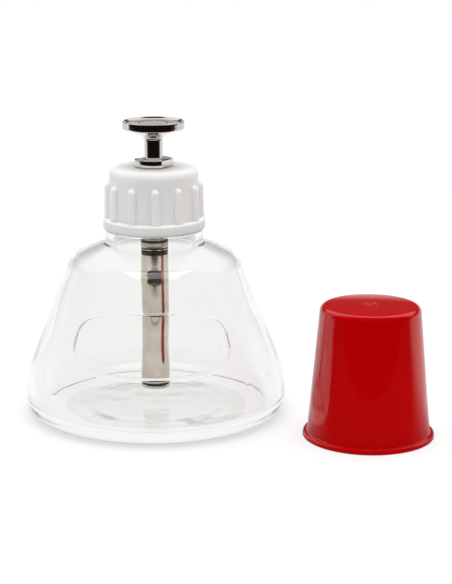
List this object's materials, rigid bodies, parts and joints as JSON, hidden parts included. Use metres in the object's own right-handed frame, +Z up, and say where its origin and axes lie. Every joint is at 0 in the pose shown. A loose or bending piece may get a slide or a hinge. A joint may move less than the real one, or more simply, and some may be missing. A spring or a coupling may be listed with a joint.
{
  "type": "plunger dispenser bottle",
  "caption": "Clear conical glass bottle with a ribbed white screw cap, a plated push pump with a shallow press dish, and a loose red tapered dust cover",
  "frame": {"origin": "on the table, under the middle of the outer box around the bottle and the cover beside it", "axes": "+Z up along bottle and pump, +X from the bottle towards the side where the cover stands, the viewer of the picture at -Y"},
  "size_m": [0.1622, 0.1126, 0.118],
  "materials": {
    "clear_glass": "clear pressed glass with a smooth fire polish",
    "white_plastic": "satin moulded polypropylene",
    "nickel_plate": "polished nickel plate over brass",
    "brass": "turned, bare",
    "steel": "bright stainless",
    "seal_rubber": "smooth moulded",
    "nylon": "turned, matt",
    "liner_foam": "soft polyethylene sheet",
    "red_plastic": "glossy moulded plastic"
  },
  "bodies": {
    "bottle": {"glass_bottle": "clear_glass"},
    "liner": {"cap_liner": "liner_foam"},
    "cap": {"screw_cap": "white_plastic", "collar_nut": "nickel_plate", "pump_barrel": "nickel_plate", "barrel_gasket": "seal_rubber", "gland_bush": "nylon", "stem_seal": "seal_rubber", "foot_valve": "nickel_plate", "foot_gasket": "seal_rubber", "spring_seat": "steel", "return_spring": "steel"},
    "inlet_ball": {"inlet_ball": "steel"},
    "seal": {"piston_seal": "seal_rubber"},
    "plunger": {"piston_head": "brass", "stem": "nickel_plate", "stop_ring": "steel", "press_dish": "nickel_plate", "outlet_plate": "nickel_plate"},
    "delivery_ball": {"delivery_ball": "steel"},
    "cover": {"dust_cover": "red_plastic"}
  },
  "joints": [
    {"name": "cap_lift", "type": "slide", "parent": "bottle", "child": "liner", "axis": [0, 0, 1], "range_m": [0, 0.00601]},
    {"name": "cap_turn", "type": "hinge", "parent": "liner", "child": "cap", "pos_m": [-0.0286, 0.0038, 0.07528], "axis": [0, 0, 1], "range_deg": [0, 540]},
    {"name": "plunger_slide", "type": "slide", "parent": "cap", "child": "seal", "axis": [0, 0, 1], "range_m": [-0.0077, 0], "stiffness_N_per_m": 250, "springref_m": 0.006, "deforming": ["return_spring"]},
    {"name": "plunger_spin", "type": "hinge", "parent": "seal", "child": "plunger", "pos_m": [-0.0286, 0.0038, 0.04606], "axis": [0, 0, 1], "continuous": true},
    {"name": "inlet_ball_lift", "type": "slide", "parent": "cap", "child": "inlet_ball", "axis": [0, 0, 1], "range_m": [0, 0.0012]},
    {"name": "delivery_ball_lift", "type": "slide", "parent": "plunger", "child": "delivery_ball", "axis": [0, 0, 1], "range_m": [0, 0.0015]},
    {"name": "cover_lift", "type": "slide", "parent": "bottle", "child": "cover", "axis": [0, 0, 1], "range_m": [0, 0.12]}
  ],
  "couplings": [
    {"joint": "cap_lift", "follows": "cap_turn", "m_per_rad": 0.00063662}
  ]
}
